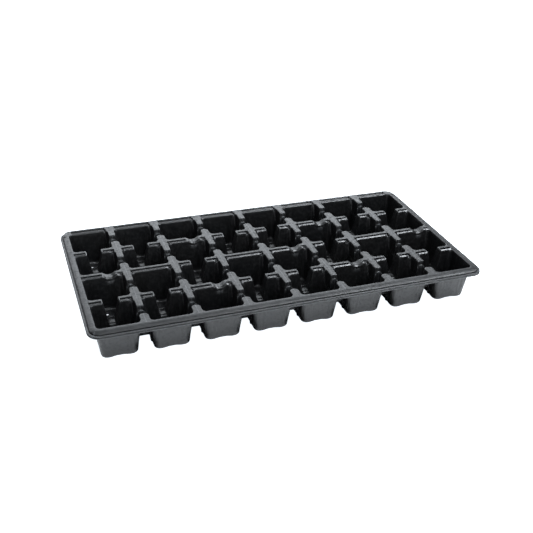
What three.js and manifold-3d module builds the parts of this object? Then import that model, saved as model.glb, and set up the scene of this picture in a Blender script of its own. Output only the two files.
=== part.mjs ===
// Seedling tray with 32 cells, 8 across and 4 deep.
//
// The real tray is one sheet of black plastic, vacuum formed downwards into tapered cups. The webs
// between the cups are hollow from below. Their tops make crosses at the cell corners, and between
// two crosses a web is either cut by a deep gap, or runs on as a rail, or as a rail with a low dip.
// Around the cells runs a raised band, and outside the band a ledge with a short skirt.
// Here the sheet is divided into its cells and the sides of its rim, with a hair-wide seam between.
//
// Millimetres, +Z up, +X along the tray. The origin is under the tray's centre, at the cell feet.

import * as THREE from 'three';
import { mergeVertices } from 'three/addons/utils/BufferGeometryUtils.js';
import Module from 'manifold-3d';

const wasm = await Module();
wasm.setup();

// Driving dimensions of the whole tray
const COLUMNS = 8;
const ROWS = 4;
const PITCH = 66;
const HEIGHT = 49.5;
const SHEET = 0.9;
const SEAM = 0.3;

// A cell: a cup with rounded corners that narrows towards its floor
const CELL_TOP = 54.4;
const CELL_BASE = 43.8;
const CELL_CORNER = 6;
const CORNER_STEPS = 3;

// The floor: a raised cross leaves four feet in the corners, and holds four drain holes
const RIDGE_WIDTH = 14;
const RIDGE_RISE = 1.2;
const DRAIN_RADIUS = 1.8;
const DRAIN_OFFSET = 8;
const DRAIN_SIDES = 8;

// The notches in the tops of the webs. Shift is the way along the web from the cell's middle.
const COLUMN_GAP = { top: 17.2, bottom: 8.5, depth: 36, shift: 0 };
const ROW_GAP = { top: 20, bottom: 9.5, depth: 31, shift: 0 };
const RAIL_DIP = { top: 15, bottom: 6, depth: 4, shift: 9.9 };

// What lies between the crosses along each line between two rows, from left to right
const OUTER_LINE = ['gap', 'gap', 'dip', 'gap', 'gap', 'dip', 'gap', 'gap'];
const MIDDLE_LINE = ['dip', 'rail', 'gap', 'rail', 'dip', 'gap', 'rail', 'dip'];
const ROW_LINES = [OUTER_LINE, MIDDLE_LINE, OUTER_LINE];
const ROW_NOTCHES = { gap: ROW_GAP, dip: RAIL_DIP, rail: null };

// The rim, outside the cells: flat band, its outer wall, ledge and skirt
const EDGE_MARGIN = 1.5;
const BAND_LENGTH = 532;
const BAND_WIDTH = 274;
const BAND_CORNER = 13;
const BAND_DROP = 2.7;
const BAND_FLARE = 0.6;
const LEDGE_LENGTH = 540;
const LEDGE_WIDTH = 282;
const LEDGE_CORNER = 16;
const SKIRT_DROP = 3.3;
const RIM_CORNER_STEPS = 5;

// How far each side of a cell is turned from its back
const SIDE_TURNS = { back: 0, left: Math.PI / 2, front: Math.PI, right: -Math.PI / 2 };

// Room that a cutting shape takes beyond the face it cuts
const CLEAR = 2;

const CELLS_LENGTH = (COLUMNS - 1) * PITCH + CELL_TOP + 2 * EDGE_MARGIN;
const CELLS_WIDTH = (ROWS - 1) * PITCH + CELL_TOP + 2 * EDGE_MARGIN;
const WALL_SLOPE = (CELL_TOP - CELL_BASE) / 2 / (HEIGHT - SHEET);

// ---- Solids -------------------------------------------------------------------------------------

function solid(geometry) {
  const bare = geometry.clone();
  bare.deleteAttribute('normal');
  bare.deleteAttribute('uv');
  const merged = mergeVertices(bare, 1e-4);
  const vertProperties = new Float32Array(merged.attributes.position.array);
  const triVerts = new Uint32Array(merged.index.array);
  return new wasm.Manifold(new wasm.Mesh({ numProp: 3, vertProperties, triVerts }));
}

function meshOf(name, shape) {
  const { vertProperties, triVerts } = shape.getMesh();
  const geometry = new THREE.BufferGeometry();
  geometry.setAttribute('position', new THREE.BufferAttribute(vertProperties, 3));
  geometry.setIndex(new THREE.BufferAttribute(triVerts, 1));
  const material = new THREE.MeshStandardMaterial({ color: 0x1c1d1f, roughness: 0.42, metalness: 0 });
  const mesh = new THREE.Mesh(geometry, material);
  mesh.name = name;
  return mesh;
}

// A box given by its sides
function block(x0, x1, y0, y1, z0, z1) {
  const geometry = new THREE.BoxGeometry(x1 - x0, y1 - y0, z1 - z0);
  geometry.translate((x0 + x1) / 2, (y0 + y1) / 2, (z0 + z1) / 2);
  return solid(geometry);
}

// The corners of a rounded rectangle about the Z axis, anticlockwise from above
function roundedRing(halfX, halfY, radius, steps, z) {
  const ring = [];
  const signs = [[1, 1], [-1, 1], [-1, -1], [1, -1]];
  signs.forEach(([sx, sy], corner) => {
    for (let i = 0; i <= steps; i++) {
      const turn = (corner + i / steps) * Math.PI / 2;
      const x = sx * (halfX - radius) + radius * Math.cos(turn);
      const y = sy * (halfY - radius) + radius * Math.sin(turn);
      ring.push(new THREE.Vector3(x, y, z));
    }
  });
  return ring;
}

// A closed body through two convex rings with the same number of points
function loft(lower, upper) {
  const count = lower.length;
  const positions = [...lower, ...upper].flatMap((point) => point.toArray());
  const index = [];
  for (let i = 0; i < count; i++) {
    const next = (i + 1) % count;
    index.push(i, next, count + next);
    index.push(i, count + next, count + i);
  }
  for (let i = 1; i < count - 1; i++) {
    index.push(0, i + 1, i);
    index.push(count, count + i, count + i + 1);
  }
  const geometry = new THREE.BufferGeometry();
  geometry.setAttribute('position', new THREE.Float32BufferAttribute(positions, 3));
  geometry.setIndex(index);
  return solid(geometry);
}

// ---- Cells --------------------------------------------------------------------------------------

// The cup's space, grown by the sheet's thickness for its outside
function cup(grow) {
  const low = SHEET - grow;
  const high = HEIGHT + CLEAR;
  const half = (z) => CELL_TOP / 2 + grow - (HEIGHT - z) * WALL_SLOPE;
  const ring = (z) => roundedRing(half(z), half(z), CELL_CORNER + grow, CORNER_STEPS, z);
  return loft(ring(low), ring(high));
}

// A notch with sloping ends, which runs from the cell's middle out over the web on one side
function notchSolid(notch, grow, side) {
  const slope = (notch.top - notch.bottom) / 2 / notch.depth;
  const low = HEIGHT - notch.depth - grow;
  const high = HEIGHT + CLEAR;
  const half = (z) => notch.top / 2 + grow - (HEIGHT - z) * slope;
  const outline = new THREE.Shape([
    new THREE.Vector2(-half(low), low),
    new THREE.Vector2(half(low), low),
    new THREE.Vector2(half(high), high),
    new THREE.Vector2(-half(high), high),
  ]);
  const length = PITCH / 2 + CLEAR;
  const geometry = new THREE.ExtrudeGeometry(outline, { depth: length, bevelEnabled: false });
  geometry.rotateX(Math.PI / 2);
  geometry.translate(side === 'front' ? -notch.shift : notch.shift, length, 0);
  geometry.rotateZ(SIDE_TURNS[side]);
  return solid(geometry);
}

// The two arms of the floor's cross, as long as the cup is wide at its top
function floorCross(width, z0, z1) {
  const half = width / 2;
  const reach = CELL_TOP / 2;
  const alongX = block(-reach, reach, -half, half, z0, z1);
  return alongX.add(block(-half, half, -reach, reach, z0, z1));
}

function drainHole(x, y) {
  const length = RIDGE_RISE + SHEET + 2 * CLEAR;
  const geometry = new THREE.CylinderGeometry(DRAIN_RADIUS, DRAIN_RADIUS, length, DRAIN_SIDES);
  geometry.rotateX(Math.PI / 2);
  geometry.translate(x, y, length / 2 - CLEAR);
  return solid(geometry);
}

// Row 1 is the back row, and column 1 is the left one
function buildCell(row, column) {
  const notches = [];
  if (column > 1) notches.push(['left', COLUMN_GAP]);
  if (column < COLUMNS) notches.push(['right', COLUMN_GAP]);
  if (row > 1) notches.push(['back', ROW_NOTCHES[ROW_LINES[row - 2][column - 1]]]);
  if (row < ROWS) notches.push(['front', ROW_NOTCHES[ROW_LINES[row - 1][column - 1]]]);

  let outside = cup(SHEET);
  let space = cup(0).subtract(floorCross(RIDGE_WIDTH, 0, SHEET + RIDGE_RISE));
  for (const [side, notch] of notches) {
    if (!notch) continue;
    outside = outside.add(notchSolid(notch, SHEET, side));
    space = space.add(notchSolid(notch, 0, side));
  }

  const inner = PITCH / 2 - SEAM / 2;
  const outer = CELL_TOP / 2 + EDGE_MARGIN;
  const left = column > 1 ? inner : outer;
  const right = column < COLUMNS ? inner : outer;
  const back = row > 1 ? inner : outer;
  const front = row < ROWS ? inner : outer;
  const tile = block(-left, right, -front, back, 0, HEIGHT);
  const top = block(-left, right, -front, back, HEIGHT - SHEET, HEIGHT);

  let sheet = outside.add(top).intersect(tile).subtract(space);
  sheet = sheet.subtract(floorCross(RIDGE_WIDTH - 2 * SHEET, -CLEAR, RIDGE_RISE));
  for (const [x, y] of [[1, 0], [0, 1], [-1, 0], [0, -1]]) {
    sheet = sheet.subtract(drainHole(x * DRAIN_OFFSET, y * DRAIN_OFFSET));
  }

  const cell = meshOf(`cell_row${row}_col${column}`, sheet);
  cell.position.x = (column - (COLUMNS + 1) / 2) * PITCH;
  cell.position.y = ((ROWS + 1) / 2 - row) * PITCH;
  return cell;
}

// ---- Rim ----------------------------------------------------------------------------------------

function rimRing(length, width, corner, z) {
  return roundedRing(length / 2, width / 2, corner, RIM_CORNER_STEPS, z);
}

// The flat band and its outer wall, which goes down inside the ledge, as one frame around the cells
function bandFrame() {
  const foot = HEIGHT - BAND_DROP - SHEET;
  const flare = 2 * BAND_FLARE;
  const outside = loft(
    rimRing(BAND_LENGTH + flare, BAND_WIDTH + flare, BAND_CORNER + BAND_FLARE, foot),
    rimRing(BAND_LENGTH, BAND_WIDTH, BAND_CORNER, HEIGHT),
  );
  const skin = 2 * SHEET;
  const inside = loft(
    rimRing(BAND_LENGTH + flare - skin, BAND_WIDTH + flare - skin, BAND_CORNER - SHEET, foot - CLEAR),
    rimRing(BAND_LENGTH - skin, BAND_WIDTH - skin, BAND_CORNER - SHEET, HEIGHT - SHEET),
  );
  const halfX = CELLS_LENGTH / 2 + SEAM;
  const halfY = CELLS_WIDTH / 2 + SEAM;
  const opening = block(-halfX, halfX, -halfY, halfY, 0, HEIGHT + CLEAR);
  return outside.subtract(inside).subtract(opening);
}

// The ledge below the band, with the skirt that hangs from its outer edge
function ledgeFrame() {
  const top = HEIGHT - BAND_DROP;
  const skin = 2 * SHEET;
  const outside = loft(
    rimRing(LEDGE_LENGTH, LEDGE_WIDTH, LEDGE_CORNER, top - SKIRT_DROP),
    rimRing(LEDGE_LENGTH, LEDGE_WIDTH, LEDGE_CORNER, top),
  );
  const underside = loft(
    rimRing(LEDGE_LENGTH - skin, LEDGE_WIDTH - skin, LEDGE_CORNER - SHEET, top - SKIRT_DROP - CLEAR),
    rimRing(LEDGE_LENGTH - skin, LEDGE_WIDTH - skin, LEDGE_CORNER - SHEET, top - SHEET),
  );
  const length = BAND_LENGTH + 2 * (BAND_FLARE + SEAM);
  const width = BAND_WIDTH + 2 * (BAND_FLARE + SEAM);
  const corner = BAND_CORNER + BAND_FLARE + SEAM;
  const opening = loft(
    rimRing(length, width, corner, top - SKIRT_DROP - CLEAR),
    rimRing(length, width, corner, top + CLEAR),
  );
  return outside.subtract(underside).subtract(opening);
}

// One side of a frame, mitred at both ends from the corners of the block of cells
function rimSide(name, frame, side) {
  const reach = LEDGE_WIDTH - CELLS_WIDTH;
  const mitre = SEAM * Math.SQRT1_2;
  const alongX = side === 'front' || side === 'back';
  const halfRun = (alongX ? CELLS_LENGTH : CELLS_WIDTH) / 2;
  const halfDepth = (alongX ? CELLS_WIDTH : CELLS_LENGTH) / 2;
  const sign = side === 'front' || side === 'left' ? -1 : 1;
  const corners = [
    [-halfRun + reach + mitre, halfDepth - reach],
    [halfRun - reach - mitre, halfDepth - reach],
    [halfRun + reach - mitre, halfDepth + reach],
    [-halfRun - reach + mitre, halfDepth + reach],
  ];
  const points = corners.map(([run, depth]) => (
    alongX ? new THREE.Vector2(run, sign * depth) : new THREE.Vector2(sign * depth, run)
  ));
  const wedge = new THREE.ExtrudeGeometry(new THREE.Shape(points), { depth: HEIGHT, bevelEnabled: false });
  wedge.translate(0, 0, CLEAR);
  return meshOf(name, frame.intersect(solid(wedge)));
}

// ---- Assembly -----------------------------------------------------------------------------------

const tray = new THREE.Group();

const cells = new THREE.Group();
for (let row = 1; row <= ROWS; row++) {
  for (let column = 1; column <= COLUMNS; column++) {
    cells.add(buildCell(row, column));
  }
}
tray.add(cells);

const rim = new THREE.Group();
const band = bandFrame();
const ledge = ledgeFrame();
for (const side of ['front', 'back', 'left', 'right']) {
  rim.add(rimSide(`rim_band_${side}`, band, side));
  rim.add(rimSide(`rim_ledge_${side}`, ledge, side));
}
tray.add(rim);

export default tray;
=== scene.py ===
"""Seedling tray of 32 cells, one vacuum-formed sheet of satin black plastic.

The sheet is made as one height map over the whole tray, so that every cell and rim side meets its
neighbours in place and in shading, and is then cut into one piece for each CAD node. Lengths in
the shape code are millimetres: x along the tray, y across it, and depth below the top of the rim.
The stage and the camera are in metres.
"""
import math

import bpy
import numpy as np
from mathutils import Matrix, Vector


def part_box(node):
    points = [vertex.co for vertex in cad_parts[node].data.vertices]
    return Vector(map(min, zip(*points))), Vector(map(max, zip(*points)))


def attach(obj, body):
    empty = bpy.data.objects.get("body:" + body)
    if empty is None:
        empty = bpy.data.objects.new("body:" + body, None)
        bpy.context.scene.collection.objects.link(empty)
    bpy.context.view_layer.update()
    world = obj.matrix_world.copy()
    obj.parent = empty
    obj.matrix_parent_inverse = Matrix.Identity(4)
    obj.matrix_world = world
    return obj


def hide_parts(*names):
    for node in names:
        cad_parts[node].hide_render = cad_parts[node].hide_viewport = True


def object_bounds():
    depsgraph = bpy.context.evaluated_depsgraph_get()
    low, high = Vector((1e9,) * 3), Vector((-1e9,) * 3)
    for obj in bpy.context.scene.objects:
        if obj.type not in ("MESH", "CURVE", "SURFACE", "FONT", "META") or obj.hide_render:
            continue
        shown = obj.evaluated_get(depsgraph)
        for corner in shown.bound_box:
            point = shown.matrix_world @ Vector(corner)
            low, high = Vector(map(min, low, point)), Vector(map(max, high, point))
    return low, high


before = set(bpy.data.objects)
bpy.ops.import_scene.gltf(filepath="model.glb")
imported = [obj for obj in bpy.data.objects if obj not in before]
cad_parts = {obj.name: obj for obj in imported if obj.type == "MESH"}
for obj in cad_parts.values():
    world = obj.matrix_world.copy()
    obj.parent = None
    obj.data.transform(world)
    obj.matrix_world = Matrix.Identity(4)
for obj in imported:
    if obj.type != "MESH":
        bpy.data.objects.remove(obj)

cad_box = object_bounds()
MM = 0.001
TOP = cad_box[1].z / MM

# ---- The tray's plan, read from the frame ---------------------------------------------------------

COLUMNS, ROWS = 8, 4


def middle(node, axis):
    low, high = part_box(node)
    return (low[axis] + high[axis]) / 2 / MM


def far_side(node, axis):
    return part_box(node)[1][axis] / MM


# Inner columns and rows are symmetric about their cells, and the outer ones are not
PITCH = middle("cell_row2_col5", 0) - middle("cell_row2_col4", 0)
CELLS_X = far_side("cell_row1_col8", 0)
CELLS_Y = far_side("cell_row1_col8", 1)
LEDGE_X = cad_box[1].x / MM
LEDGE_Y = cad_box[1].y / MM
LEDGE = 4.0
BAND_X = LEDGE_X - LEDGE
BAND_Y = LEDGE_Y - LEDGE
BAND_CORNER = 13.0


def column_x(column):
    """Middle of a column of cells, counted from 0 at the left."""
    return (column - (COLUMNS - 1) / 2) * PITCH


def row_y(row):
    """Middle of a row of cells, counted from 0 at the back."""
    return ((ROWS - 1) / 2 - row) * PITCH


# ---- Curves and profiles --------------------------------------------------------------------------

def smooth(low, high, value):
    """0 below low, 1 above high, and a smooth step between."""
    t = np.clip((value - low) / (high - low), 0, 1)
    return t * t * (3 - 2 * t)


def rise(value, place, width):
    """A smooth step up, centred on a place."""
    return smooth(place - width / 2, place + width / 2, value)


def window(value, low, high, soft):
    """1 between low and high, with edges of the given softness centred on both."""
    return rise(value, low, soft) * (1 - rise(value, high, soft))


def round_off(past, radius):
    """Drop of a quarter circle, against the distance past its start."""
    return radius - np.sqrt(radius**2 - np.clip(past, 0, radius) ** 2)


def fillet(corner, towards_a, towards_b, radius, steps=14):
    """Points of an arc that rounds a corner between two directions."""
    a = np.array(towards_a, float) / np.hypot(*towards_a)
    b = np.array(towards_b, float) / np.hypot(*towards_b)
    half = math.acos(np.clip(a @ b, -1, 1)) / 2
    tangent = radius / math.tan(half)
    centre = np.array(corner) + (a + b) / np.hypot(*(a + b)) * radius / math.sin(half)
    start, end = np.array(corner) + a * tangent, np.array(corner) + b * tangent
    points = []
    for i in range(steps + 1):
        chord = start * (1 - i / steps) + end * (i / steps) - centre
        points.append(centre + chord / np.hypot(*chord) * radius)
    return points


def wall_profile(width, depth, draft, edge, foot):
    """Depth against the distance in from a hollow's edge, rounded at the edge and at the foot."""
    beyond, foot_steps = 20.0, 20
    floor_at = depth * draft
    wall = (draft, 1)
    points = [np.array((-beyond, 0.0))]
    points += fillet((0, 0), (-1, 0), wall, edge)
    points += fillet((floor_at, depth), (-draft, -1), (1, 0), foot, foot_steps)
    points += [np.array((width + beyond, depth))]
    return np.array(points).T


def corner_bite(a, b, reach):
    """How far the edges of two hollows step back where they meet, which rounds the post between."""
    return np.maximum(reach - np.abs(a - b), 0) ** 2 / (4 * reach)


def cell_reach(u, v, radius):
    """Half the size of the rounded square through a point, with corners of one radius."""
    u, v = np.abs(u), np.abs(v)
    spread = np.minimum(np.abs(u - v), radius)
    return np.where(
        np.abs(u - v) >= radius,
        np.maximum(u, v),
        radius + (u + v - np.sqrt(2 * radius**2 - spread**2)) / 2,
    )


def rounded_inset(x, y, half_x, half_y, radius):
    """Distance in from the edge of a rounded rectangle."""
    u = np.abs(x) - (half_x - radius)
    v = np.abs(y) - (half_y - radius)
    outside = np.hypot(np.maximum(u, 0), np.maximum(v, 0))
    return radius - outside - np.minimum(np.maximum(u, v), 0)


# ---- Cups -----------------------------------------------------------------------------------------
# u and v are measured from the middle of a cell, to the right and to the back

SHEET = 0.9
HALF_CELL = 27.2
HALF_WEB = PITCH / 2 - HALF_CELL
CELL_CORNER = 6.0
CELL_DEPTH = TOP - SHEET
DRAFT = 0.109
CUP_WALL = wall_profile(HALF_CELL, CELL_DEPTH, DRAFT, edge=0.9, foot=4.0)

CROSS_FLAT = 3.0      # the floor's raised cross is flat to here from its middle line
CROSS_SLOPE = 13.0    # and slopes down to here
CROSS_RISE = 1.2
FLOOR_FADE = (CELL_DEPTH - 6, CELL_DEPTH - 1.0)
DRAIN_RADIUS = 1.8
DRAIN_OFFSET = 8.0

FLUTE_PITCH = 5.5
FLUTE_HEIGHT = 0.14
FLUTED = (9, 22, 4)        # from, to and softness, along a wall from its middle
FLUTED_WALL = (20, 23)     # the flutes fade in between these distances out from the cell's middle
FLUTE_TOP = (0.4, 1.4)     # and over these distances in from the cell's edge,
FLUTE_FOOT = (4.7, 3.7)    # and fade out again over these

# The bars narrow towards their front ends, which widens the back half of each cell near its top
BAR_TAPER = 1.2
TAPER_V = (30, 26)
TAPER_U = (24.5, 26.5)
# The walls next to the back rim bulge in a little, which widens the bead above them
BACK_BULGE = 0.4
BULGE_U = (25, 12)


def floor_rise(u, v):
    """Height of a cell's floor, a raised cross between four feet, over the feet."""
    arms = np.maximum(
        1 - smooth(CROSS_FLAT, CROSS_SLOPE, np.abs(u)),
        1 - smooth(CROSS_FLAT, CROSS_SLOPE, np.abs(v)),
    )
    return CROSS_RISE * arms


def flutes_along(along, out):
    """Shallow waves along two opposite walls of a cell."""
    wave = FLUTE_HEIGHT * np.cos(along * 2 * np.pi / FLUTE_PITCH)
    return wave * window(np.abs(along), *FLUTED) * smooth(*FLUTED_WALL, np.abs(out))


def cell_inset(u, v, column, row):
    """Distance in from a cell's edge at the top of the web."""
    beside_bar = np.where(u < 0, column > 0, column < COLUMNS - 1)
    widened = BAR_TAPER * smooth(*TAPER_V, v) * smooth(*TAPER_U, np.abs(u)) * (v > 0) * beside_bar
    bulge = np.where((row == 0) & (v > 0), BACK_BULGE * smooth(*BULGE_U, np.abs(u)), 0)
    return HALF_CELL - cell_reach(np.maximum(np.abs(u) - widened, 0), v + bulge, CELL_CORNER)


def cup_depth(u, v, inset, bite):
    """Depth of a cup. The bite rounds the posts at its corners."""
    flutes = flutes_along(u, v) + flutes_along(v, u)
    flutes *= smooth(*FLUTE_TOP, inset) * smooth(*FLUTE_FOOT, inset)
    depth = np.interp(inset + bite + flutes, *CUP_WALL)
    return depth - floor_rise(u, v) * smooth(*FLOOR_FADE, depth)


# ---- Gaps in the webs -----------------------------------------------------------------------------
# w is measured across a web between two rows, from its middle to the back

# Half widths at the top and at the floor
COLUMN_GAP = dict(top=8.6, floor=4.25, depth=36.0)
ROW_GAP = dict(top=10.0, floor=4.75, depth=31.0)
NO_GAP = -50.0
COLUMN_BITE_BACK, COLUMN_BITE_FRONT = 1.8, 6.5
ROW_BITE = 2.6

# Below a bar's front end a small rounded shoulder stands out before the gap drops away
SHOULDER_DEPTH = 5.4
SHOULDER_RADIUS = 3.4
SHOULDER_FLAT = 0.8
SHOULDER_REACH = 1.9
COLUMN_FLOOR_RADIUS = 3.6
COLUMN_FLOOR_ROUND = 3.2
COLUMN_FLOOR_FADE = (20, 31)

ROW_FLOOR_BACK, ROW_FLOOR_FRONT = 1.6, 2.6     # radii of the floor's edges
ROW_FLOOR_FADE = (22, 30)
# A lip stands along the back of the floor, and bends forward in its middle. A groove runs in front.
LIP_W, LIP_HALF, LIP_SOFT, LIP_RISE = 7.9, 0.8, 1.0, 2.2
LIP_BEND, LIP_BEND_U = 1.8, (-4.5, 3.5, 3.0)
FLOOR_GROOVE, FLOOR_GROOVE_W = 1.5, (-6.2, -4.6, 0.9)

# What each web between rows is, above or below each column of cells
KINDS = {"gap": 0, "dip": 1, "rail": 2, "none": 3}
OUTER_LINE = ["gap", "gap", "dip", "gap", "gap", "dip", "gap", "gap"]
MIDDLE_LINE = ["dip", "rail", "gap", "rail", "dip", "gap", "rail", "dip"]
ROW_LINES = np.array([[KINDS[kind] for kind in line] for line in (OUTER_LINE, MIDDLE_LINE, OUTER_LINE)])


def notch_wall(notch):
    draft = (notch["top"] - notch["floor"]) / notch["depth"]
    return wall_profile(notch["top"], notch["depth"], draft, edge=1.1, foot=2.4)


COLUMN_WALL = notch_wall(COLUMN_GAP)
ROW_WALL = notch_wall(ROW_GAP)


def web_kinds(column, row, v):
    """The kind of the web between rows that is nearest to each point."""
    line = np.clip(np.round(row + np.where(v > 0, -1, 0)), -1, ROWS - 1).astype(int)
    inner_line = (line >= 0) & (line < ROWS - 1)
    kinds = ROW_LINES[np.clip(line, 0, ROWS - 2), column.astype(int)]
    return np.where(inner_line, kinds, KINDS["none"]), inner_line


def column_gap_depth(x, v, inset, bite):
    """Depth of the gaps in the webs between columns. Each has a small shoulder at its back."""
    across = np.abs(x - np.round(x / PITCH) * PITCH)
    gap = np.interp(inset + bite, *COLUMN_WALL)
    shoulder = SHOULDER_DEPTH + round_off(across - SHOULDER_FLAT, SHOULDER_RADIUS)
    behind = np.interp(inset + bite - SHOULDER_REACH, *COLUMN_WALL)
    stepped = np.maximum(behind, np.minimum(gap, shoulder))
    gap = np.where(v > 0, stepped, gap)
    half_floor = HALF_WEB + COLUMN_GAP["depth"] * DRAFT
    fall = round_off(across - (half_floor - COLUMN_FLOOR_ROUND), COLUMN_FLOOR_RADIUS)
    return gap + np.where(inset > 0, fall, 0) * smooth(*COLUMN_FLOOR_FADE, gap)


def row_gap_depth(u, w, inset, bite):
    """Depth of the gaps in the webs between rows. A lip and a groove run along each floor."""
    gap = np.interp(inset + bite, *ROW_WALL)
    half_floor = HALF_WEB + ROW_GAP["depth"] * DRAFT
    drop = round_off(w - (half_floor - ROW_FLOOR_BACK), ROW_FLOOR_BACK)
    drop = drop + round_off(-w - (half_floor - ROW_FLOOR_FRONT), ROW_FLOOR_FRONT)
    lip_w = LIP_W - LIP_BEND * window(u, *LIP_BEND_U)
    drop = drop - LIP_RISE * window(w - lip_w, -LIP_HALF, LIP_HALF, LIP_SOFT)
    drop = drop + FLOOR_GROOVE * window(w, *FLOOR_GROOVE_W)
    return gap + drop * smooth(*ROW_FLOOR_FADE, gap)


# ---- Tops of the webs between rows ----------------------------------------------------------------
# a is measured to the right from the middle of the cross at the left end of a web

STRIP_EDGE = 1.1      # the flat strip behind a web's groove ends here, from the web's middle
BEAD_EDGE = -2.6      # and the bead in front of the groove begins here
BEAD_TOP = -3.3       # in front of this the bead slopes down to the front
BEAD_SLOPE = 0.5
GROOVE_DEPTH = 3.0
GROOVE_SOFT = 0.5
BAR_SIDE = 5.4        # a groove starts this far from the middle of a cross
TIP_LEFT = 2.3        # and stops this far before the end of an arm
END_SOFT = 1.0
WEB_FADE = (HALF_WEB + 1.6, HALF_WEB + 0.6)
TRIM_FADE = (9.0, 2.0)     # details of the tops fade out between these depths

DIP_SHIFT = 9.9       # the shallow dip in a rail, to the right of the web's middle
DIP_DEPTH = 3.8
DIP_HALF = 10.5
DIP_END_SOFT = 2.0
DIP_FLAT = 1.6
PIT_FROM, PIT_TO = 0.79 * PITCH, 0.935 * PITCH     # the half-moon pit beside a dip
PIT_WIDTH, PIT_W, PIT_SOFT = 1.9, -0.9, 0.9

# Drain nicks in the bead: depth, place from the bar with softness, and the same across the web
NICK_W = (-7.5, -1.0, 1.6)
LEFT_NICK, LEFT_NICK_AT = 2.4, (6.2, 9.0, 1.4)
RIGHT_NICK, RIGHT_NICK_AT = 2.0, (5.4, 6.9, 1.0)
SLIDE, SLIDE_OUT, SLIDE_W, SLIDE_IN = 0.9, (8.0, 13.5), (-1.6, -3.4), (5.0, 6.4)
FAR = 99.0


def web_grooves(a, w, kind):
    """Depth of the groove, the bead's slope and the pit along the webs."""
    from_cross = np.minimum(a, PITCH - a)
    start = rise(from_cross, BAR_SIDE, END_SOFT)
    tip = PITCH / 2 - ROW_GAP["top"] - TIP_LEFT
    gap_groove = start * (1 - rise(from_cross, tip, END_SOFT))
    dip_groove = start * (1 - rise(a, PITCH / 2 + DIP_SHIFT - DIP_HALF, DIP_END_SOFT))
    kinds = [kind == KINDS[name] for name in ("gap", "dip", "rail")]
    along = np.select(kinds, [gap_groove, dip_groove, start], 0.0)
    groove = GROOVE_DEPTH * window(w, BEAD_EDGE, STRIP_EDGE, GROOVE_SOFT) * along
    slope = BEAD_SLOPE * np.maximum(BEAD_TOP - w, 0) * start

    from_middle = (a - (PIT_FROM + PIT_TO) / 2) / ((PIT_TO - PIT_FROM) / 2)
    bow = np.sqrt(np.clip(1 - from_middle**2, 0, 1))
    pit = GROOVE_DEPTH * smooth(0, PIT_SOFT, PIT_WIDTH * bow - np.abs(w - PIT_W))
    return groove + slope + np.where(kind == KINDS["dip"], pit, 0)


def drain_nicks(a, w, column):
    """Depth of the small drain nicks in the bead, on both sides of each bar between two cells."""
    left = np.where(a > PITCH / 2, PITCH - a, FAR)
    right = np.where(a <= PITCH / 2, a, FAR)
    nicks = LEFT_NICK * window(left, *LEFT_NICK_AT) * window(w, *NICK_W)
    nicks += SLIDE * (1 - smooth(*SLIDE_OUT, left)) * smooth(*SLIDE_W, w) * smooth(*SLIDE_IN, left)
    nicks += RIGHT_NICK * window(right, *RIGHT_NICK_AT) * window(w, *NICK_W)
    inner_bar = ((column > 0) | (a > PITCH / 2)) & ((column < COLUMNS - 1) | (a <= PITCH / 2))
    return np.where(inner_bar, nicks, 0)


def web_trim(u, w, kind, inner_line, column):
    """Depth of everything on top of the webs between rows."""
    a = u + PITCH / 2
    on_web = smooth(*WEB_FADE, np.abs(w))
    dip = DIP_DEPTH * smooth(0, DIP_HALF - DIP_FLAT, DIP_HALF - np.abs(u - DIP_SHIFT))
    details = (web_grooves(a, w, kind) + drain_nicks(a, w, column)) * on_web
    return np.where(inner_line, details + np.where(kind == KINDS["dip"], dip, 0), 0)


# ---- The band of the rim --------------------------------------------------------------------------

CROWN_WIDTH = 9.0     # the band falls off over this distance to its outer edge
CROWN_CURVE = 52
CROWN_TO = 124        # but not along the back, which starts here
BAND_OVERLAP = 3.5

# Between the stubs of the webs the back has a bead, with a channel behind it and a curl at its right.
# A place with three numbers is from, to and softness.
BACK_FROM = 120
CHANNEL_Y, CHANNEL_DEPTH = (129.6, 137.3, 0.4), 3.7
CURL_Y, CURL_X, CURL_DEPTH = (124.0, 130.5, 1.4), (6.6, 8.6, 1.2), 2.0
BACK_BEAD, BACK_BEAD_WIDTH, BACK_SLOPE = 128.6, 3.2, 0.42
STUB_RIGHT, STUB_LEFT = (6.4, 7.6), (7.4, 8.8)     # where the channel starts and ends beside a stub
END_LEFT, END_RIGHT = (15.5, 17.5), (17.5, 19.5)   # and in from the ends of the tray


def back_trim(x, y):
    """Depth of the bead and the channel that run along the back between the stubs of the webs."""
    off = x - np.round(x / PITCH) * PITCH
    left_of = np.where(off < 0, -off, PITCH - off)
    right_of = np.where(off < 0, PITCH + off, off)
    first = x < -(COLUMNS / 2 - 1) * PITCH
    last = x > (COLUMNS / 2 - 1) * PITCH
    left_end = smooth(-LEDGE_X + END_LEFT[0], -LEDGE_X + END_LEFT[1], x)
    right_end = smooth(LEDGE_X - END_RIGHT[0], LEDGE_X - END_RIGHT[1], x)
    clear_left = np.where(first, left_end, smooth(*STUB_RIGHT, right_of))
    clear_right = np.where(last, right_end, smooth(*STUB_LEFT, left_of))
    channel = clear_left * clear_right * window(y, *CHANNEL_Y)
    curl = np.where(last, 0, window(left_of, *CURL_X)) * window(y, *CURL_Y)
    slope = BACK_SLOPE * np.clip(BACK_BEAD - y, 0, BACK_BEAD_WIDTH) * clear_left * clear_right
    return np.where(y > BACK_FROM, CHANNEL_DEPTH * channel + CURL_DEPTH * curl + slope, 0)


def band_crown(x, y):
    """Fall of the band towards its outer edge."""
    inset = rounded_inset(x, y, BAND_X, BAND_Y, BAND_CORNER)
    on_band = inset < BAND_Y - (row_y(0) + HALF_CELL) + BAND_OVERLAP
    return np.where(on_band & (y <= CROWN_TO), np.maximum(CROWN_WIDTH - inset, 0) ** 2 / CROWN_CURVE, 0)


# ---- The sheet's upper and lower sides ------------------------------------------------------------

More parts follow.
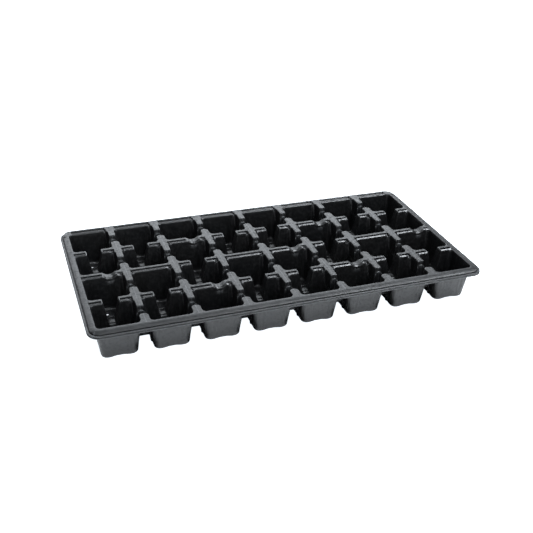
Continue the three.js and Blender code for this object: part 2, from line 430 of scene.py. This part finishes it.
def depth_at(x, y):
    """Depth of the sheet's upper side below the top of the rim."""
    column = np.clip(np.round(x / PITCH + (COLUMNS - 1) / 2), 0, COLUMNS - 1)
    row = np.clip(np.round((ROWS - 1) / 2 - y / PITCH), 0, ROWS - 1)
    u = x - column_x(column)
    v = y - row_y(row)
    w = np.where(v > 0, v - PITCH / 2, v + PITCH / 2)
    kind, inner_line = web_kinds(column, row, v)

    # The gaps between columns run over the whole length between the outer cells' middles
    inner_x = np.abs(x) < column_x(COLUMNS - 1)
    inset = cell_inset(u, v, column, row)
    column_inset = np.where(inner_x, COLUMN_GAP["top"] - np.abs(v), NO_GAP)
    row_inset = np.where(kind == KINDS["gap"], ROW_GAP["top"] - np.abs(u), NO_GAP)

    # The corners of the posts between hollows are round in plan, most at the back ends of the bars
    column_bite = corner_bite(inset, column_inset, np.where(v > 0, COLUMN_BITE_BACK, COLUMN_BITE_FRONT))
    row_bite = corner_bite(inset, row_inset, ROW_BITE)

    depth = cup_depth(u, v, inset, column_bite + row_bite)
    column_depth = column_gap_depth(x, v, column_inset, column_bite)
    depth = np.where(inner_x, np.maximum(depth, column_depth), depth)
    row_depth = row_gap_depth(u, w, row_inset, row_bite)
    depth = np.where(kind == KINDS["gap"], np.maximum(depth, row_depth), depth)

    depth = depth + web_trim(u, w, kind, inner_line, column) * smooth(*TRIM_FADE, depth)
    return depth + (band_crown(x, y) + back_trim(x, y)) * smooth(*TRIM_FADE, depth)


# A ball as thick as the sheet, as rings of directions: radius of each ring and how many
BALL_RINGS = ((0.45, 8), (0.74, 12), (0.865, 16), (0.893, 16))


def ball_offsets():
    """Directions in which the sheet's thickness is felt by its underside, with the height of each."""
    offsets = [(0.0, 0.0, SHEET)]
    for radius, count in BALL_RINGS:
        for i in range(count):
            turn = 2 * math.pi * i / count
            height = math.sqrt(SHEET**2 - radius**2)
            offsets.append((radius * math.cos(turn), radius * math.sin(turn), height))
    return offsets


def under_depth(x, y):
    """Depth of the sheet's underside: the lowest reach of a ball rolled along the upper side."""
    depth = np.full(np.broadcast(x, y).shape, -np.inf)
    for dx, dy, height in ball_offsets():
        depth = np.maximum(depth, depth_at(x + dx, y + dy) + height)
    return depth


# ---- The sheet as a grid --------------------------------------------------------------------------

def half_lines(spans):
    """Grid lines from 0 outwards. Each span is (upper limit, number of steps)."""
    lines = [0.0]
    for limit, steps in spans:
        lines += list(np.linspace(lines[-1], limit, steps + 1)[1:])
    return np.array(lines)


def cell_lines(inner_spans, outer_spans, count):
    """Grid lines over a whole row of cells, and where each cell starts and ends in them."""
    inner, outer = half_lines(inner_spans), half_lines(outer_spans)
    lines, cuts = [], [0]
    for i in range(count):
        centre = (i - (count - 1) / 2) * PITCH
        left = outer if i == 0 else inner
        right = outer if i == count - 1 else inner
        mine = np.concatenate([-left[::-1], right[1:]]) + centre
        lines = mine if i == 0 else np.concatenate([lines, mine[1:]])
        cuts.append(len(lines) - 1)
    return lines, cuts


# The lines are closest at the drain holes, along the feet of the walls and over the web. The outer
# cells reach as far out in y as in x.
OUTER_HALF = CELLS_X - column_x(COLUMNS - 1)
X_SHARED = [(2.8, 4), (8.0, 6), (12.6, 9), (17.6, 5), (22.6, 9), (26.4, 6)]
Y_SHARED = [(3.6, 4), (10.4, 12), (17.6, 6), (22.6, 9), (26.4, 6)]
xs, x_cuts = cell_lines(X_SHARED + [(28.7, 9), (PITCH / 2, 6)], X_SHARED + [(OUTER_HALF, 9)], COLUMNS)
ys, y_cuts = cell_lines(Y_SHARED + [(28.7, 9), (PITCH / 2, 14)], Y_SHARED + [(OUTER_HALF, 9)], ROWS)

gx, gy = np.meshgrid(xs, ys)
upper = depth_at(gx, gy)
under = np.minimum(under_depth(gx, gy), TOP)


def unit(vectors):
    return vectors / np.linalg.norm(vectors, axis=-1, keepdims=True)


def grid_normals(depth):
    """Unit normals of the height map, pointing up."""
    fall_y, fall_x = np.gradient(depth, ys, xs)
    return unit(np.stack([fall_x, fall_y, np.ones_like(depth)], -1))


upper_normals = grid_normals(upper)
under_normals = -grid_normals(under)


# ---- Material -------------------------------------------------------------------------------------

# Noises, per metre: scale, detail and roughness
BROAD = (14, 3, 0.55)
CLOUD = (90, 4, 0.55)
MOTTLE = (300, 2, 0.6)
GRAIN = (900, 3, 0.6)
FINE = (2600, 2, 0.55)
MIDDLE_OF_NOISE = (0.3, 0.7)

SHEET_DARK = (0.0040, 0.0044, 0.0052, 1)
SHEET_PALE = (0.0072, 0.0070, 0.0072, 1)
WORN_COLOUR = (0.110, 0.116, 0.124, 1)
WORN_AMOUNT = 0.8
WORN_POINTINESS = (0.52, 0.60)
WORN_CLOUD = (0.35, 0.65, 0.3, 1.0)

CLOUD_ROUGHNESS = (0.30, 0.38)
GRAIN_ROUGHNESS = (-0.02, 0.03)
WORN_ROUGHNESS = 0.06
DULL_SPOTS = (0.48, 0.66, 0.0, 0.24)

BUMP_STRENGTH, BUMP_DISTANCE = 0.35, 0.0002
BUMP_SHARES = dict(grain=0.6, fine=0.3, cloud=1.2, mottle=3.4)

# A colour mix node has several sockets of each name, so its colour sockets are taken by number
MIX_A, MIX_B, MIX_RESULT = 6, 7, 2


class NodeKit:
    """Adds nodes to one material, each method giving the socket that carries its result."""

    def __init__(self, material):
        self.nodes, self.links = material.node_tree.nodes, material.node_tree.links
        self.place = self.nodes.new("ShaderNodeTexCoord").outputs["Object"]

    def fill(self, socket, value):
        """Links a socket to another, or sets it where the value is a number or a colour."""
        if isinstance(value, bpy.types.NodeSocket):
            self.links.new(value, socket)
        else:
            socket.default_value = value

    def noise(self, scale, detail, rough):
        node = self.nodes.new("ShaderNodeTexNoise")
        node.inputs["Scale"].default_value = scale
        node.inputs["Detail"].default_value = detail
        node.inputs["Roughness"].default_value = rough
        self.links.new(self.place, node.inputs["Vector"])
        return node.outputs["Fac"]

    def remap(self, value, low, high, to_low=0.0, to_high=1.0):
        node = self.nodes.new("ShaderNodeMapRange")
        node.inputs["From Min"].default_value = low
        node.inputs["From Max"].default_value = high
        node.inputs["To Min"].default_value = to_low
        node.inputs["To Max"].default_value = to_high
        self.links.new(value, node.inputs["Value"])
        return node.outputs["Result"]

    def maths(self, kind, a, b):
        node = self.nodes.new("ShaderNodeMath")
        node.operation = kind
        self.fill(node.inputs[0], a)
        self.fill(node.inputs[1], b)
        return node.outputs["Value"]

    def mix(self, factor, a, b):
        node = self.nodes.new("ShaderNodeMix")
        node.data_type = "RGBA"
        self.links.new(factor, node.inputs["Factor"])
        self.fill(node.inputs[MIX_A], a)
        self.fill(node.inputs[MIX_B], b)
        return node.outputs[MIX_RESULT]


def satin_plastic(name):
    """Black formed polystyrene: satin, a little mottled, paler and duller on worn edges."""
    material = bpy.data.materials.new(name)
    material.use_nodes = True
    shader = material.node_tree.nodes["Principled BSDF"]
    shader.inputs["Specular IOR Level"].default_value = 0.5
    shader.inputs["IOR"].default_value = 1.5

    kit = NodeKit(material)
    broad = kit.noise(*BROAD)
    cloud = kit.noise(*CLOUD)
    mottle = kit.noise(*MOTTLE)
    grain = kit.noise(*GRAIN)
    fine = kit.noise(*FINE)

    edges = kit.nodes.new("ShaderNodeNewGeometry").outputs["Pointiness"]
    worn = kit.maths("MULTIPLY", kit.remap(edges, *WORN_POINTINESS), kit.remap(cloud, *WORN_CLOUD))

    colour = kit.mix(kit.remap(broad, *MIDDLE_OF_NOISE), SHEET_DARK, SHEET_PALE)
    colour = kit.mix(kit.maths("MULTIPLY", worn, WORN_AMOUNT), colour, WORN_COLOUR)
    kit.links.new(colour, shader.inputs["Base Color"])

    rough = kit.maths("ADD", kit.remap(cloud, *MIDDLE_OF_NOISE, *CLOUD_ROUGHNESS),
                      kit.remap(grain, *MIDDLE_OF_NOISE, *GRAIN_ROUGHNESS))
    rough = kit.maths("ADD", rough, kit.maths("MULTIPLY", worn, WORN_ROUGHNESS))
    rough = kit.maths("ADD", rough, kit.remap(mottle, *DULL_SPOTS))
    kit.links.new(rough, shader.inputs["Roughness"])

    height = kit.maths("ADD", kit.maths("MULTIPLY", grain, BUMP_SHARES["grain"]),
                       kit.maths("MULTIPLY", fine, BUMP_SHARES["fine"]))
    height = kit.maths("ADD", height, kit.maths("MULTIPLY", cloud, BUMP_SHARES["cloud"]))
    height = kit.maths("ADD", height, kit.maths("MULTIPLY", mottle, BUMP_SHARES["mottle"]))
    bump = kit.nodes.new("ShaderNodeBump")
    bump.inputs["Strength"].default_value = BUMP_STRENGTH
    bump.inputs["Distance"].default_value = BUMP_DISTANCE
    kit.links.new(height, bump.inputs["Height"])
    kit.links.new(bump.outputs["Normal"], shader.inputs["Normal"])
    return material


plastic = satin_plastic("satin_black_sheet")


# ---- Pieces ---------------------------------------------------------------------------------------

def make_piece(name, node, points, faces, normals):
    """One closed piece of the sheet, in place of its CAD node. Points are in mm, z up from the feet."""
    mesh = bpy.data.meshes.new(name)
    mesh.from_pydata((points * MM).tolist(), [], faces.tolist())
    mesh.validate()
    mesh.polygons.foreach_set("use_smooth", [True] * len(mesh.polygons))
    mesh.normals_split_custom_set_from_vertices(normals.tolist())
    mesh.materials.append(plastic)
    piece = bpy.data.objects.new(name, mesh)
    bpy.context.scene.collection.objects.link(piece)
    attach(piece, "root")
    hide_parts(node)
    return piece


def sheet_piece(node, top, low, top_normals, low_normals, keep):
    """Joins two grids of points into a closed sheet, with a wall round every edge of what is kept."""
    index = np.arange(top.shape[0] * top.shape[1]).reshape(top.shape[:2])
    count = index.size
    j, i = np.nonzero(keep)
    quad = np.stack([index[j, i], index[j, i + 1], index[j + 1, i + 1], index[j + 1, i]], -1)
    low_quad = quad[:, ::-1] + count
    edges = np.concatenate([quad[:, [k, (k + 1) % 4]] for k in range(4)])
    codes = edges[:, 0] * count + edges[:, 1]
    reversed_codes = edges[:, 1] * count + edges[:, 0]
    rim = edges[~np.isin(codes, reversed_codes)]
    # The wall has corners of its own, so that its shading stays apart from both faces
    ends, inverse = np.unique(rim, return_inverse=True)
    inverse = inverse.reshape(rim.shape)
    upper_end = inverse + 2 * count
    lower_end = upper_end + len(ends)
    wall = np.stack([upper_end[:, 1], upper_end[:, 0], lower_end[:, 0], lower_end[:, 1]], -1)
    flat_top, flat_low = top.reshape(-1, 3), low.reshape(-1, 3)
    points = np.concatenate([flat_top, flat_low, flat_top[ends], flat_low[ends]])
    # Zero normals leave the wall's shading to its own faces
    normals = np.concatenate([top_normals.reshape(-1, 3), low_normals.reshape(-1, 3),
                              np.zeros((2 * len(ends), 3))])
    faces = np.concatenate([quad, low_quad, wall])
    used = np.unique(faces)
    renumber = np.zeros(len(points), int)
    renumber[used] = np.arange(len(used))
    return make_piece(f"tray_{node}", node, points[used], renumber[faces], normals[used])


# ---- Cells ----------------------------------------------------------------------------------------

def corners_of(quads):
    """Marks the grid points that are a corner of any marked quad."""
    rows, columns = quads.shape
    corners = np.zeros((rows + 1, columns + 1), bool)
    for dj in (0, 1):
        for di in (0, 1):
            corners[dj:dj + rows, di:di + columns] |= quads
    return corners


def punch(points, keep, centre):
    """Takes the quads in a drain hole out of a tile, and draws the corners round it onto a circle."""
    quad_middles = (points[:-1, :-1, :2] + points[1:, 1:, :2]) / 2
    inside = np.hypot(*(quad_middles - centre).transpose(2, 0, 1)) < DRAIN_RADIUS
    keep &= ~inside
    edge = corners_of(inside) & corners_of(~inside)
    points[edge, :2] = centre + unit(points[edge][:, :2] - centre) * DRAIN_RADIUS


def build_cell(row, column):
    across = slice(x_cuts[column], x_cuts[column + 1] + 1)
    from_front = ROWS - 1 - row
    along = slice(y_cuts[from_front], y_cuts[from_front + 1] + 1)
    x, y = gx[along, across], gy[along, across]
    top = np.stack([x, y, TOP - upper[along, across]], -1)
    low = np.stack([x, y, TOP - under[along, across]], -1)
    keep = np.ones((x.shape[0] - 1, x.shape[1] - 1), bool)
    for dx, dy in ((1, 0), (0, 1), (-1, 0), (0, -1)):
        punch(top, keep, np.array([column_x(column) + dx * DRAIN_OFFSET, row_y(row) + dy * DRAIN_OFFSET]))
    low[..., :2] = top[..., :2]
    sheet_piece(f"cell_row{row + 1}_col{column + 1}", top, low,
                upper_normals[along, across], under_normals[along, across], keep)


for row in range(ROWS):
    for column in range(COLUMNS):
        build_cell(row, column)


# ---- Rim ------------------------------------------------------------------------------------------

BACK_SHIFT = 2.0      # the band is this much wider, and the ledge narrower, along the back
SHIFT_RUN = 20.0      # over this length of each side next to the corners at the back
PATH_STEP = 1.1
ARC_STEPS = 14
STRAIGHT_X, STRAIGHT_Y = BAND_X - BAND_CORNER, BAND_Y - BAND_CORNER

# The outer wall of the band, then the ledge and skirt, as points outward from the band's edge
WALL = np.array([(0.06, -1.7), (0.12, -2.2), (0.18, -2.7), (0.26, -3.1), (0.45, -3.4), (0.85, -3.45)])
LEDGE_PROFILE = np.array([
    (0.85, -3.45), (1.1, -3.3), (1.3, -3.0), (1.55, -2.75), (1.9, -2.62), (3.2, -2.6),
    (3.5, -2.68), (3.6, -2.95), (3.35, -3.35), (3.2, -3.9), (3.2, -4.4),
    (3.35, -4.7), (3.75, -4.82), (3.98, -4.98), (3.98, -5.3), (3.98, -6.0),
])
BAND_ROWS = 27
SLOPE_STEP = 0.02
BAND_LOWEST = 6       # the band's underside is never more than this below its upper side
EDGE_WIDTH, EDGE_DROP = 0.5, 0.45     # the round edge from the band to its outer wall
EDGE_TURNS = np.linspace(0.12, 1.35, 7)


def back_shift(y):
    return BACK_SHIFT * smooth(STRAIGHT_Y - SHIFT_RUN, BAND_Y, y)


def rim_path():
    """The band's outer top edge, anticlockwise from the middle of the right-hand front corner."""
    points, outward = [], []
    corners = [(STRAIGHT_X, -STRAIGHT_Y, -90), (STRAIGHT_X, STRAIGHT_Y, 0),
               (-STRAIGHT_X, STRAIGHT_Y, 90), (-STRAIGHT_X, -STRAIGHT_Y, 180)]
    for n, (cx, cy, start) in enumerate(corners):
        for i in range(ARC_STEPS + 1):
            turn = math.radians(start + 90 * i / ARC_STEPS)
            out = (math.cos(turn), math.sin(turn))
            points.append((cx + BAND_CORNER * out[0], cy + BAND_CORNER * out[1]))
            outward.append(out)
        # The straight side to the next corner
        nx, ny, _ = corners[(n + 1) % 4]
        a = np.array(points[-1])
        b = np.array((nx + BAND_CORNER * out[0], ny + BAND_CORNER * out[1]))
        count = int(round(np.hypot(*(b - a)) / PATH_STEP))
        for i in range(1, count):
            points.append(tuple(a + (b - a) * i / count))
            outward.append(out)
    points, outward = np.array(points), np.array(outward)
    points[:, 1] += back_shift(points[:, 1])
    shift = ARC_STEPS // 2
    return np.roll(points, -shift, 0), np.roll(outward, -shift, 0)


path, outward = rim_path()


def path_sides():
    """Index ranges of the path for the right, back, left and front sides, between corner middles."""
    turns = [k for k, out in enumerate(outward) if abs(abs(out[0]) - abs(out[1])) < 1e-6]
    turns = turns + [len(path) + turns[0]]
    return {side: np.arange(turns[n], turns[n + 1] + 1) % len(path)
            for n, side in enumerate(("right", "back", "left", "front"))}


def profile_normals(profile):
    """Normals of a profile of (outward, height) points, to the left of its way down and out."""
    along = np.gradient(profile, axis=0)
    return unit(np.stack([-along[:, 1], along[:, 0]], -1))


def sweep(profile, edge, out, squeeze=1.0, start=0.0):
    """A profile carried along the path. A squeeze below 1 narrows what lies outside the start."""
    rings = []
    for offset, height in profile:
        reach = start + (offset - start) * squeeze * np.ones(len(edge))
        rings.append(np.column_stack([edge + out * reach[:, None], np.full(len(edge), TOP + height)]))
    return np.stack(rings)


def sweep_normals(facing, out):
    return np.stack([np.column_stack([out * a, np.full(len(out), b)]) for a, b in facing])


def rim_piece(node, top, low, normals):
    """A piece of the rim from its grids, which run outward across the path."""
    top, low, normals = top[:, ::-1], low[:, ::-1], normals[:, ::-1]
    keep = np.ones((top.shape[0] - 1, top.shape[1] - 1), bool)
    sheet_piece(node, top, low, normals, -normals, keep)


def build_band(side, edge, out):
    inner = np.clip(edge, (-CELLS_X, -CELLS_Y), (CELLS_X, CELLS_Y))
    shoulder = edge - out * EDGE_WIDTH
    t = np.linspace(0, 1, BAND_ROWS)[:, None, None]
    flat = inner[None] * (1 - t) + shoulder[None] * t
    x, y = flat[..., 0], flat[..., 1]
    depth = depth_at(x, y)
    fall_x = (depth_at(x + SLOPE_STEP, y) - depth_at(x - SLOPE_STEP, y)) / (2 * SLOPE_STEP)
    fall_y = (depth_at(x, y + SLOPE_STEP) - depth_at(x, y - SLOPE_STEP)) / (2 * SLOPE_STEP)
    flat_normals = unit(np.stack([fall_x, fall_y, np.ones_like(fall_x)], -1))
    flat_top = np.dstack([flat, TOP - depth])
    flat_low = np.dstack([flat, TOP - np.minimum(under_depth(x, y), depth + BAND_LOWEST)])

    # From the band's shoulder over a round edge and down the outer wall
    edge_depth = float(np.median(depth[-1]))
    round_edge = np.column_stack([EDGE_WIDTH * (np.sin(EDGE_TURNS) - 1),
                                  -edge_depth - EDGE_DROP * (1 - np.cos(EDGE_TURNS))])
    profile = np.concatenate([round_edge, WALL])
    facing = profile_normals(profile)
    under_profile = profile - facing * SHEET
    top = np.concatenate([flat_top, sweep(profile, edge, out)])
    low = np.concatenate([flat_low, sweep(under_profile, edge, out)])
    normals = np.concatenate([flat_normals, sweep_normals(facing, out)])
    rim_piece(f"rim_band_{side}", top, low, normals)


def build_ledge(side, edge, out):
    start = LEDGE_PROFILE[0, 0]
    moved = back_shift(edge[:, 1] - BACK_SHIFT / 2)
    squeeze = 1 - moved * np.abs(out[:, 1]) / (LEDGE - start)
    facing = profile_normals(LEDGE_PROFILE)
    under_profile = LEDGE_PROFILE - facing * SHEET
    top = sweep(LEDGE_PROFILE, edge, out, squeeze, start)
    low = sweep(under_profile, edge, out, squeeze, start)
    rim_piece(f"rim_ledge_{side}", top, low, sweep_normals(facing, out))


for side, ids in path_sides().items():
    build_band(side, path[ids], outward[ids])
    build_ledge(side, path[ids], outward[ids])


# ---- Stage ----------------------------------------------------------------------------------------

COOL = (0.90, 0.95, 1.0)
FLOOR_HALF = 9.0
FLOOR_Z = -0.0004
FLOOR_COLOUR, FLOOR_ROUGHNESS, FLOOR_GLOW = (0.8, 0.8, 0.8), 0.9, 1.15
CARD_COLOUR, CARD_ROUGHNESS = (0.01, 0.01, 0.01), 1.0
CARD_Z = -0.0002
CARD_X, CARD_BACK, CARD_FRONT = 0.262, 0.136, -0.110
TEETH_FRONT, TOOTH_HALF = -0.136, 0.0095

# The studio is pale at the horizon and dim above it: heights between which it turns, and strengths
HORIZON = (0.06, 0.14)
HORIZON_STRENGTH = (1.1, 0.07)

# Name, place, width, height and power of each soft light. All face the tray.
SOFTBOXES = [
    ("back_box", (0.42, 2.6, 1.05), 2.9, 2.1, 64),
    ("top_box", (-0.2, -0.1, 2.6), 2.4, 2.4, 25),
    ("key_box", (1.3, -0.08, 2.4), 1.1, 1.1, 112),
    ("front_fill", (-1.0, -3.0, 1.5), 2.4, 1.6, 38),
]


def plain(name, colour, roughness):
    material = bpy.data.materials.new(name)
    material.use_nodes = True
    shader = material.node_tree.nodes["Principled BSDF"]
    shader.inputs["Base Color"].default_value = (*colour, 1)
    shader.inputs["Roughness"].default_value = roughness
    return material


def flat_sheet(name, outline, z, material):
    """A level polygon."""
    mesh = bpy.data.meshes.new(name)
    mesh.from_pydata([(x, y, 0) for x, y in outline], [], [tuple(range(len(outline)))])
    mesh.materials.append(material)
    sheet = bpy.data.objects.new(name, mesh)
    sheet.location.z = z
    bpy.context.scene.collection.objects.link(sheet)
    return sheet


pale = plain("pale_floor", FLOOR_COLOUR, FLOOR_ROUGHNESS)
glow = pale.node_tree.nodes["Principled BSDF"].inputs
glow["Emission Color"].default_value = (*COOL, 1)
glow["Emission Strength"].default_value = FLOOR_GLOW
floor_corners = [(-1, -1), (1, -1), (1, 1), (-1, 1)]
floor = flat_sheet("floor", [(x * FLOOR_HALF, y * FLOOR_HALF) for x, y in floor_corners], FLOOR_Z, pale)

# A black card lies under the tray, with a tooth in each gap between the front cups, and keeps the
# floor's light out of the hollows between the cups
card_outline = [(-CARD_X, CARD_BACK), (-CARD_X, CARD_FRONT)]
for k in range(1 - COLUMNS // 2, COLUMNS // 2):
    tooth = k * PITCH * MM
    card_outline += [(tooth - TOOTH_HALF, CARD_FRONT), (tooth - TOOTH_HALF, TEETH_FRONT),
                     (tooth + TOOTH_HALF, TEETH_FRONT), (tooth + TOOTH_HALF, CARD_FRONT)]
card_outline += [(CARD_X, CARD_FRONT), (CARD_X, CARD_BACK)]
card = flat_sheet("card", card_outline, CARD_Z, plain("black_card", CARD_COLOUR, CARD_ROUGHNESS))
card.visible_camera = False


def studio_world():
    world = bpy.data.worlds.new("studio")
    world.use_nodes = True
    nodes, links = world.node_tree.nodes, world.node_tree.links
    nodes["Background"].inputs["Color"].default_value = (*COOL, 1)
    direction = nodes.new("ShaderNodeTexCoord")
    split = nodes.new("ShaderNodeSeparateXYZ")
    horizon = nodes.new("ShaderNodeMapRange")
    horizon.inputs["From Min"].default_value, horizon.inputs["From Max"].default_value = HORIZON
    horizon.inputs["To Min"].default_value, horizon.inputs["To Max"].default_value = HORIZON_STRENGTH
    links.new(direction.outputs["Generated"], split.inputs["Vector"])
    links.new(split.outputs["Z"], horizon.inputs["Value"])
    links.new(horizon.outputs["Result"], nodes["Background"].inputs["Strength"])
    return world


def softbox(name, place, width, height, power):
    light = bpy.data.lights.new(name, "AREA")
    light.shape = "RECTANGLE"
    light.size, light.size_y = width, height
    light.energy = power
    light.color = COOL
    lamp = bpy.data.objects.new(name, light)
    lamp.location = place
    lamp.rotation_mode = "QUATERNION"
    lamp.rotation_quaternion = (-Vector(place)).to_track_quat("-Z", "Y")
    lamp.visible_camera = False
    bpy.context.scene.collection.objects.link(lamp)


bpy.context.scene.world = studio_world()
for box in SOFTBOXES:
    softbox(*box)

# ---- Camera ---------------------------------------------------------------------------------------

AZIMUTH, ELEVATION, ROLL = math.radians(-20.236), math.radians(29.665), math.radians(1.664)
DISTANCE = 1.0962
AIM = Vector((-0.0139, -0.0428, TOP * MM))
LENS, SENSOR = 54.21, 36
CLIP = (0.05, 30)

towards = Vector((math.sin(AZIMUTH) * math.cos(ELEVATION),
                  -math.cos(AZIMUTH) * math.cos(ELEVATION),
                  math.sin(ELEVATION)))
level_right = (-towards).cross(Vector((0, 0, 1))).normalized()
level_up = level_right.cross(-towards)
camera_right = level_right * math.cos(ROLL) + level_up * math.sin(ROLL)
camera_up = -level_right * math.sin(ROLL) + level_up * math.cos(ROLL)

camera_data = bpy.data.cameras.new("camera")
camera_data.lens = LENS
camera_data.sensor_width = SENSOR
camera_data.clip_start, camera_data.clip_end = CLIP
camera = bpy.data.objects.new("camera", camera_data)
camera.location = AIM + towards * DISTANCE
camera.rotation_mode = "QUATERNION"
camera.rotation_quaternion = Matrix((camera_right, camera_up, towards)).transposed().to_quaternion()
bpy.context.scene.collection.objects.link(camera)
bpy.context.scene.camera = camera
bpy.context.scene.view_settings.view_transform = "Standard"
